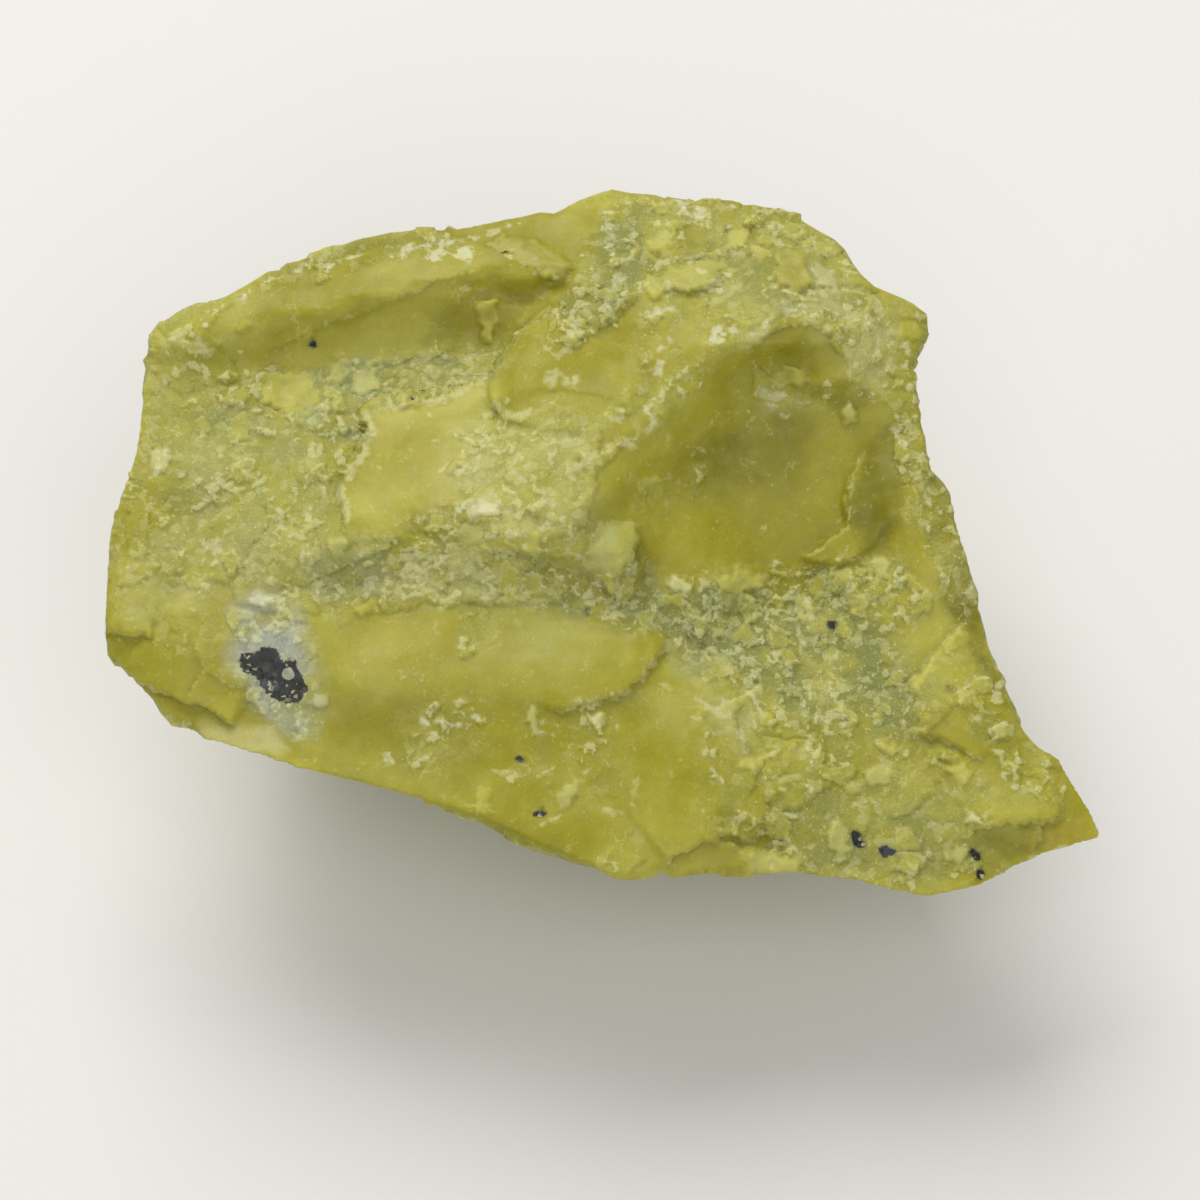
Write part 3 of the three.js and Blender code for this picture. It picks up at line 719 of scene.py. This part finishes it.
def relax(mesh, rounds):
    """Smooths a mesh without shrinking it."""
    points = read(mesh.vertices, "co").astype(float)
    start, end = read(mesh.edges, "vertices", 2, np.int32).T
    count = np.bincount(start, minlength=len(points)) + np.bincount(end, minlength=len(points))
    for factor in SMOOTHING_STEPS * rounds:
        middle = np.empty_like(points)
        for axis in range(3):
            total = np.bincount(start, points[end, axis], len(points))
            total += np.bincount(end, points[start, axis], len(points))
            middle[:, axis] = total / count
        points += factor * (middle - points)
    set_points(mesh, points)


def face_frame(points):
    """Coordinates in the frame of the broad face."""
    moved = points - FACE_ORIGIN
    return np.stack([moved @ ALONG_X, moved @ UP_FACE, moved @ OUT_OF_FACE], axis=1)


def seen_at(lying):
    """The pixel that each point of the face frame is seen at."""
    scale = PIXELS_AT_UNIT_SLOPE / (CAMERA_DISTANCE - lying[:, 2])
    return np.stack([PICTURE_MIDDLE + lying[:, 0] * scale, PICTURE_MIDDLE - lying[:, 1] * scale], axis=1)


def finely_divided(node):
    """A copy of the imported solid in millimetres, evenly divided."""
    data = node.data.copy()
    data.transform(Matrix.Scale(1 / MM, 4))
    piece = bpy.data.objects.new("serpentine_rock", data)
    bpy.context.scene.collection.objects.link(piece)
    with_modifier(piece, "divide", "REMESH", mode="VOXEL", voxel_size=VOXEL)
    relax(piece.data, SMOOTHING_ROUNDS)
    return piece


def thin_out(piece, away):
    """Takes vertices out where away is true, until few enough triangles are left."""
    group = piece.vertex_groups.new(name="coarse")
    group.add(np.flatnonzero(away).tolist(), 1.0, "REPLACE")
    share = MOST_TRIANGLES / (2 * len(piece.data.polygons))
    settings = {"ratio": share, "vertex_group": group.name, "vertex_group_factor": 1.0}
    with_modifier(piece, "thin out", "DECIMATE", **settings)
    piece.vertex_groups.clear()


# ---- relief and colour

class Surface:
    """What the relief and the colours both need to know about each point of the stone."""

    def __init__(self, mesh):
        self.points = read(mesh.vertices, "co").astype(float)
        self.normals = read(mesh.vertex_normals, "vector").astype(float)
        self.lying = lying = face_frame(self.points)
        self.outward = self.normals @ OUT_OF_FACE
        self.facing = smooth(0.05, 0.35, self.outward)
        self.seen = seen_at(lying)
        self.ragged = self.seen + strays(lying, 0.75, 1, 11, 3.2) + strays(lying, 0.26, 1, 13, 2.4)
        self.strayed = self.ragged + strays(lying, 1.8, 2, 15, 9)
        self.ledges = [self.ledge(*row) for row in LEDGES]
        torn = self.ragged + strays(lying, 0.42, 1, 17, 3.5)
        self.lumps = [within(torn, outline, 2.5) for *_, outline in LUMPS]
        self.crushed = self.crushed_share()
        for share in self.lumps:
            self.crushed *= 1 - 0.7 * share
        self.plates, self.flakes, self.crumbs = self.loose_pieces()

    def crushed_share(self):
        """How crushed the surface is, from 0 to 1."""
        face = np.zeros(len(self.points))
        for strength, fade, outline in CRUSHED:
            face = np.maximum(face, strength * within(self.ragged, outline, fade))
        patches = layered(self.lying, 7.0, 3, 21)
        elsewhere = 0.12 + 0.66 * smooth(-0.3, 0.3, patches)
        face = np.maximum(face, 0.5 * smooth(0.45, 0.8, layered(self.lying, 3.0, 3, 22)))
        return self.facing * face + (1 - self.facing) * elsewhere

    def loose_pieces(self):
        """Thin plates, flakes and crumbs of the crushed stone, as picked chips."""
        lying = self.lying
        warp = [noise(lying, 0.8, seed) * 0.22 + noise(lying, 0.3, seed + 5) * 0.1 for seed in (81, 82, 83)]
        warped = lying + np.stack(warp, axis=1)
        fewer = 0.45 * (self.crushed - 0.85)
        clumps = 0.2 * layered(lying, 2.6, 2, 84)
        plates = picked(*chips(warped, 2.8, 85), 0.3, fewer)
        flakes = picked(*chips(warped, 0.8, 86), 0.22, fewer + clumps)
        crumbs = picked(*chips(warped, 0.34, 87), 0.26, fewer + 1.6 * clumps)
        return plates, flakes, crumbs

    def ledge(self, lift, reach, line):
        """A ledge's height, its reach, and the distance to its edge, above 0 on the raised side."""
        line = pixels(line)
        distance, side, walked = near_line(self.ragged, line, 3 * reach)
        if not np.array_equal(line[0], line[-1]):
            lift = lift * smooth(0, 0.12, walked) * smooth(0, 0.12, 1 - walked)
        return lift, reach, distance * side


def ledge_relief(surface):
    height = np.zeros(len(surface.points))
    for lift, reach, signed in surface.ledges:
        raised = smooth(-1.5, 2.5, signed) * np.exp(-np.maximum(signed, 0) / reach)
        foot = 0.2 * (1 - smooth(-1.5, 2.5, signed)) * np.exp(-np.maximum(-signed, 0) / 7)
        height += lift * (raised - foot)
    return height


def groove_relief(surface):
    height = np.zeros(len(surface.points))
    for depth, width, line in GROOVES:
        distance = near_line(surface.ragged, pixels(line), 4 * width)[0]
        height -= depth * np.exp(-((distance / width) ** 2))
    return height


def lump_relief(surface):
    uneven = np.clip(1 + 0.8 * layered(surface.lying, 0.8, 2, 78), 0.4, 1.4)
    return uneven * sum(lift * share for (lift, *_), share in zip(LUMPS, surface.lumps))


def grain_relief(surface):
    """The sugary grain of crushed stone and the gentle waves of clean breaks."""
    lying = surface.lying
    loose = 0.12 * smooth(0, 0.25, surface.plates)
    loose += 0.11 * smooth(-0.05, 0.3, surface.flakes) + 0.07 * smooth(-0.05, 0.4, surface.crumbs)
    whole = smooth(0.1, 0.5, surface.plates)
    rough = layered(lying, 1.2, 4, 33, 0.65) * 0.06 * (1 - 0.75 * whole)
    waves = scoops(lying, 3.4, 41) * 0.12 + noise(lying, 2.0, 42) * 0.02 + noise(lying, 0.6, 43) * 0.006
    return smooth(0, 0.3, surface.crushed) * loose + surface.crushed * rough + waves


def flank_relief(surface):
    """Scooped breaks on the sides that the listed marks leave alone, deepest at the back."""
    large = scoops(surface.lying, 5.5, 51) * 0.7
    small = scoops(surface.lying, 2.0, 52) * 0.16
    away = smooth(0.1, 0.7, -surface.outward)
    return (1 + 0.6 * away) * (large + small - 0.4)


def shape(piece):
    """Gives the stone its relief, and returns what its colours need."""
    mesh = piece.data
    surface = Surface(mesh)
    marks = ledge_relief(surface) + groove_relief(surface) + lump_relief(surface)
    grain = grain_relief(surface)
    flank = flank_relief(surface)
    facing = surface.facing
    off_floor = smooth(0.05, 0.7, surface.points[:, 2])
    out = facing[:, None] * OUT_OF_FACE * (marks + 0.8 * grain)[:, None]
    out += surface.normals * (0.2 * facing * grain + (1 - facing) * (grain + flank))[:, None]
    moved = surface.points + out * off_floor[:, None]
    low = np.array(cad_box[0]) / MM
    high = np.array(cad_box[1]) / MM
    set_points(mesh, np.clip(moved, low, high))
    surface.height = marks + grain
    return surface


def mixed(base, colour, share):
    return base + share[:, None] * (colour - base)


def colours(surface):
    """The colour of each point, and the fields by which the material adds its fine grain."""
    lying, ragged, facing = surface.lying, surface.ragged, surface.facing
    crushed, plates = surface.crushed, surface.plates
    clouds = layered(lying, 5.0, 3, 61)
    veins = layered(lying, 1.6, 3, 62)
    colour = mixed(np.tile(YELLOW, (len(lying), 1)), OLIVE, smooth(-0.5, 0.7, clouds))
    colour = mixed(colour, MOSS, 0.35 * (1 - facing) * smooth(0.0, 0.8, veins))
    colour = mixed(colour, SAGE, 0.6 * (1 - facing) * crushed)
    mottled = facing * np.clip(0.85 + (0.2 + 0.7 * crushed) * layered(lying, 1.4, 3, 77, 0.6), 0.3, 1)
    for wash, strength, fade, outline in WASHES:
        colour = mixed(colour, wash, mottled * strength * within(surface.strayed, outline, fade))
    honey = (0.12 + 0.13 * facing) * (1 - crushed) * smooth(0.0, 0.8, layered(lying, 4.0, 2, 63))
    colour = mixed(colour, HONEY, honey)

    # Crushed stone: cloudy, with plates that are still whole
    dust = layered(lying, 2.2, 3, 72, 0.6)
    colour = mixed(colour, GREY_GREEN, crushed * 0.55 * smooth(0.05, 0.8, -dust))
    colour = mixed(colour, STRAW, crushed * 0.4 * smooth(0.05, 0.8, dust))
    colour = mixed(colour, YELLOW, crushed * 0.38 * smooth(0, 0.3, plates))
    # Painted shade where the crushed surface lies low
    colour = mixed(colour, MOSS, 0.35 * crushed * smooth(0.04, 0.2, -surface.height))

    # Pale bruises, the frayed edges of plates, painted highlight on the thin edges of ledges and painted
    # shade at their foot
    chalk_and_highlights = 0.42 * crushed * smooth(-0.3, 0, plates) * (1 - smooth(0.1, 0.4, plates))
    white = np.full(len(lying), 0.4)
    for lift, _, signed in surface.ledges:
        sharp = facing * np.minimum(lift / 0.08, 1)
        # Painted highlight along each ledge's edge, and painted shade at its foot
        edge = 0.55 * sharp * smooth(-2.5, 0, signed) * (1 - smooth(0, 5, signed))
        foot = sharp * smooth(-10, -1, signed) * (1 - smooth(-1, 1.5, signed))
        chalk_and_highlights = np.maximum(chalk_and_highlights, edge)
        colour = mixed(colour, MOSS, 0.35 * foot)
    for (_, lump_colour, strength, _), share in zip(LUMPS, surface.lumps):
        colour = mixed(colour, lump_colour, facing * strength * share)
        chalk_and_highlights = np.maximum(chalk_and_highlights, 0.5 * facing * share * (1 - smooth(0.6, 1, share)))
    broken = 0.3 + 0.7 * smooth(-0.3, 0.3, layered(lying, 0.6, 3, 76, 0.7))
    for whiteness, strength, width, line in BRUISES_AND_HIGHLIGHTS:
        distance = near_line(ragged, pixels(line), 4 * width)[0]
        share = facing * strength * broken * (1 - smooth(0.2 * width, 2.0 * width, distance))
        white = np.where(share > chalk_and_highlights, whiteness, white)
        chalk_and_highlights = np.maximum(chalk_and_highlights, share)

    black = np.zeros(len(lying))
    for outline in INCLUSION:
        black = np.maximum(black, within(ragged, outline, 7.0))
    black *= 1 - spot(surface.seen, *INCLUSION_HOLE)
    for place, radius, grain_colour, strength in GRAINS:
        share = strength * spot(ragged, place, radius)
        colour = mixed(colour, grain_colour, facing * share)
        black = np.maximum(black, share * (grain_colour is INK))

    masks = np.stack([crushed, chalk_and_highlights, facing * black], axis=1)
    loose = np.stack([0.5 + 0.5 * surface.flakes, 0.5 + 0.5 * surface.crumbs, white], axis=1)
    return np.clip(colour, 0, 1), np.clip(masks, 0, 1), np.clip(loose, 0, 1)


def store(mesh, name, values):
    layer = mesh.color_attributes.new(name, "FLOAT_COLOR", "POINT")
    full = np.ones((len(values), 4), np.float32)
    full[:, :3] = values
    layer.data.foreach_set("color", full.ravel())


# ---- material

class Nodes:
    """Short forms for making shader nodes."""

    def __init__(self, material):
        self.tree = material.node_tree
        self.tree.nodes.clear()

    def add(self, kind, **inputs):
        node = self.tree.nodes.new(kind)
        for name, value in inputs.items():
            self.set(node, name.replace("_", " "), value)
        return node

    def set(self, node, name, value):
        """Links an input, given by name or number, to an output, or gives it a value."""
        if isinstance(value, bpy.types.NodeSocket):
            self.tree.links.new(value, node.inputs[name])
        else:
            node.inputs[name].default_value = value

    def attribute(self, name):
        node = self.add("ShaderNodeAttribute")
        node.attribute_type = "GEOMETRY"
        node.attribute_name = name
        return node.outputs["Color"]

    def channels(self, colour):
        return self.add("ShaderNodeSeparateColor", Color=colour).outputs[:3]

    def noise(self, place, scale, detail, roughness):
        settings = {"Scale": scale, "Detail": detail, "Roughness": roughness}
        return self.add("ShaderNodeTexNoise", Vector=place, **settings).outputs["Fac"]

    def cells(self, place, size):
        """A random number for each of a crowd of cells, and the distance to its cell's middle."""
        node = self.add("ShaderNodeTexVoronoi", Vector=place, Scale=1 / size)
        return self.channels(node.outputs["Color"])[0], node.outputs["Distance"]

    def operate(self, kind, operation, first, second):
        node = self.add(kind)
        node.operation = operation
        self.set(node, 0, first)
        self.set(node, 1, second)
        return node.outputs[0]

    def plus(self, first, second):
        return self.operate("ShaderNodeMath", "ADD", first, second)

    def minus(self, first, second):
        return self.operate("ShaderNodeMath", "SUBTRACT", first, second)

    def times(self, first, second):
        return self.operate("ShaderNodeMath", "MULTIPLY", first, second)

    def moved(self, place, push, reach):
        """A place moved by a push, which is a colour, times reach."""
        step = self.operate("ShaderNodeVectorMath", "MULTIPLY", push, (reach,) * 3)
        return self.operate("ShaderNodeVectorMath", "ADD", place, step)

    def ranged(self, value, low, high, to_low, to_high):
        limits = {"From_Min": low, "From_Max": high, "To_Min": to_low, "To_Max": to_high}
        return self.add("ShaderNodeMapRange", Value=value, **limits).outputs["Result"]

    def mix(self, share, first, second, blend="MIX"):
        """Mixes two colours, which are outputs or constants."""
        node = self.add("ShaderNodeMix")
        node.data_type = "RGBA"
        node.blend_type = blend
        self.set(node, 0, share)
        for number, colour in ((6, first), (7, second)):
            constant = isinstance(colour, np.ndarray)
            self.set(node, number, (*colour, 1) if constant else colour)
        return node.outputs[2]


def stone_material():
    material = bpy.data.materials.new("serpentine")
    material.use_nodes = True
    nodes = Nodes(material)
    place = nodes.add("ShaderNodeTexCoord").outputs["Object"]
    crushed, chalk_and_highlights, black = nodes.channels(nodes.attribute("masks"))
    flakes, crumbs, white = nodes.channels(nodes.attribute("loose"))

    # Noise too fine for the mesh, from about 1 mm down to 0.1 mm
    coarse = nodes.noise(place, 4200, 2, 0.65)
    fine = nodes.noise(place, 9000, 1, 0.6)
    soft = nodes.noise(place, 900, 2, 0.6)
    milk = nodes.noise(place, 1500, 3, 0.7)

    # Broken grains of two sizes, and the hair-thin edges of larger flakes
    push = nodes.add("ShaderNodeTexNoise", Vector=place, Scale=3500, Detail=1).outputs["Color"]
    torn = nodes.moved(place, push, GRAIN_STRAY)
    grain, grain_middle = nodes.cells(torn, GRAIN_SIZE)
    sugar, sugar_middle = nodes.cells(torn, SUGAR_SIZE)
    hair = nodes.add("ShaderNodeTexVoronoi", Vector=nodes.moved(place, push, HAIR_STRAY), Scale=420)
    hair.feature = "DISTANCE_TO_EDGE"
    hair = nodes.ranged(hair.outputs["Distance"], 0, 0.025, 0.28, 0)
    hair = nodes.times(hair, nodes.ranged(soft, 0.56, 0.66, 0, 1))

    def frayed(field, low, high, most):
        """The share of a field that lies above a value, with a ragged edge."""
        uneven = nodes.plus(field, nodes.ranged(coarse, 0.3, 0.7, -0.14, 0.14))
        uneven = nodes.plus(uneven, nodes.ranged(sugar, 0, 1, -0.1, 0.1))
        return nodes.ranged(uneven, low, high, 0, most)

    # The stone, its hair-thin edges, and dark and pale grains where it is crushed
    colour = nodes.mix(nodes.ranged(milk, 0.48, 0.75, 0, 0.15), nodes.attribute("tint"), STRAW)
    colour = nodes.mix(hair, colour, CREAM)
    dark = nodes.times(nodes.ranged(grain, 0.35, 0, 0, 0.36), crushed)
    colour = nodes.mix(dark, colour, GREY_GREEN * 0.8)
    light = nodes.times(nodes.ranged(grain, 0.72, 0.95, 0, 0.35), crushed)
    colour = nodes.mix(light, colour, CREAM)

    # Specks of chalk in clusters, crumbs and flakes
    pricks = nodes.times(nodes.ranged(sugar, 0.40, 0.65, 0, 0.7), nodes.ranged(crushed, 0, 1, 0.1, 1))
    pricks = nodes.times(pricks, nodes.ranged(sugar_middle, 0.42, 0.15, 0, 1))
    pricks = nodes.times(pricks, nodes.ranged(coarse, 0.46, 0.60, 0.1, 1))
    colour = nodes.mix(pricks, colour, CHALK)
    colour = nodes.mix(frayed(crumbs, 0.58, 0.85, 0.5), colour, CREAM)
    pale = nodes.mix(nodes.ranged(flakes, 0.55, 0.8, 0, 1), CREAM, LEMON)
    colour = nodes.mix(frayed(flakes, 0.52, 0.7, 0.4), colour, pale)

    # Bruises and painted highlights, and the black inclusion with grey grains and pale glints
    bruise_and_highlight = nodes.mix(white, LEMON, CHALK)
    colour = nodes.mix(frayed(chalk_and_highlights, 0.3, 0.8, 0.75), colour, bruise_and_highlight)
    ink = nodes.mix(nodes.ranged(grain, 0.55, 1, 0, 0.35), INK, SLATE)
    ink = nodes.mix(nodes.ranged(sugar, 0.9, 0.95, 0, 0.6), ink, CHALK)
    colour = nodes.mix(frayed(black, 0.46, 0.6, 0.95), colour, ink)

    # Slight unevenness all over
    shade = nodes.ranged(fine, 0.25, 0.75, 0.95, 1.05)
    shade = nodes.times(nodes.ranged(soft, 0.3, 0.7, 0.94, 1.06), shade)
    shade = nodes.add("ShaderNodeCombineColor", Red=shade, Green=shade, Blue=shade).outputs[0]
    colour = nodes.mix(1, colour, shade, "MULTIPLY")

    rough = nodes.ranged(crushed, 0, 1, 0.42, 0.72)
    rough = nodes.plus(rough, nodes.ranged(soft, 0.3, 0.7, -0.06, 0.06))
    rough = nodes.plus(rough, nodes.ranged(chalk_and_highlights, 0, 1, 0, 0.12))
    rough = nodes.minus(rough, nodes.ranged(black, 0, 1, 0, 0.25))

    depth = nodes.times(coarse, nodes.ranged(crushed, 0, 1, 0.10, 1))
    depth = nodes.plus(depth, nodes.times(fine, nodes.ranged(crushed, 0, 1, 0.06, 0.35)))
    for number, middle, height in ((grain, grain_middle, 0.6), (sugar, sugar_middle, 0.35)):
        facet = nodes.times(nodes.minus(number, middle), nodes.ranged(crushed, 0.1, 1, 0, height))
        depth = nodes.plus(depth, facet)
    bump = nodes.add("ShaderNodeBump", Height=depth, Strength=0.7, Distance=BUMP_HEIGHT)

    shader = nodes.add("ShaderNodeBsdfPrincipled", Base_Color=colour, Roughness=rough)
    nodes.set(shader, "Normal", bump.outputs["Normal"])
    nodes.set(shader, "IOR", 1.56)
    nodes.set(shader, "Specular IOR Level", 0.24)
    nodes.set(shader, "Subsurface Weight", 0.35)
    nodes.set(shader, "Subsurface Radius", (1.0, 0.9, 0.3))
    nodes.set(shader, "Subsurface Scale", 0.0009)
    nodes.add("ShaderNodeOutputMaterial", Surface=shader.outputs["BSDF"])
    return material


def floor_material():
    material = bpy.data.materials.new("pale floor")
    material.use_nodes = True
    shader = material.node_tree.nodes["Principled BSDF"]
    shader.inputs["Base Color"].default_value = (0.78, 0.77, 0.74, 1)
    shader.inputs["Roughness"].default_value = 0.85
    return material


# ---- camera, light and floor

def row_point(lying):
    """A point of the face frame, in the row frame and in metres."""
    x, y, height = lying
    return Vector((FACE_ORIGIN + x * ALONG_X + y * UP_FACE + height * OUT_OF_FACE) * MM)


def aim(thing, place, target):
    thing.location = place
    thing.rotation_euler = (target - Vector(place)).to_track_quat("-Z", "Y").to_euler()


def make_camera():
    data = bpy.data.cameras.new("camera")
    data.sensor_width = SENSOR_WIDTH
    data.lens = PIXELS_AT_UNIT_SLOPE * SENSOR_WIDTH / PICTURE_WIDTH
    data.clip_start = 0.01
    data.clip_end = 10
    camera = bpy.data.objects.new("camera", data)
    bpy.context.scene.collection.objects.link(camera)
    aim(camera, row_point((0, 0, CAMERA_DISTANCE)), row_point((0, 0, 0)))
    bpy.context.scene.camera = camera


def make_light(name, place, size, power, colour):
    data = bpy.data.lights.new(name, "AREA")
    data.shape = "SQUARE"
    data.size = size
    data.energy = power
    data.color = colour
    light = bpy.data.objects.new(name, data)
    bpy.context.scene.collection.objects.link(light)
    aim(light, place, LIT_POINT)


def make_floor():
    bpy.ops.mesh.primitive_plane_add(size=FLOOR_SIZE, location=(0, 0, 0))
    floor = bpy.context.object
    floor.name = "floor"
    floor.data.materials.append(floor_material())


def make_studio():
    make_floor()
    make_light("high back light", (-0.10, 0.24, 0.34), 0.30, 1.32, (1.0, 0.98, 0.95))
    make_light("front fill", (0.06, -0.30, 0.36), 0.45, 0.95, (0.99, 0.99, 1.0))
    world = bpy.data.worlds.new("studio")
    world.use_nodes = True
    background = world.node_tree.nodes["Background"]
    background.inputs["Color"].default_value = (0.97, 0.98, 1.0, 1)
    background.inputs["Strength"].default_value = 0.36
    bpy.context.scene.world = world
    bpy.context.scene.view_settings.view_transform = "Standard"


# ---- the whole scene

def make_rock():
    rock = finely_divided(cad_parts["rock"])
    surface = shape(rock)
    for name, values in zip(("tint", "masks", "loose"), colours(surface)):
        store(rock.data, name, values)
    thin_out(rock, surface.outward < 0.1)
    rock.data.transform(Matrix.Scale(MM, 4))
    rock.data.materials.clear()
    rock.data.materials.append(stone_material())
    rock.data.shade_smooth()
    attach(rock, "root")
    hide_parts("rock")


make_camera()
make_studio()
make_rock()
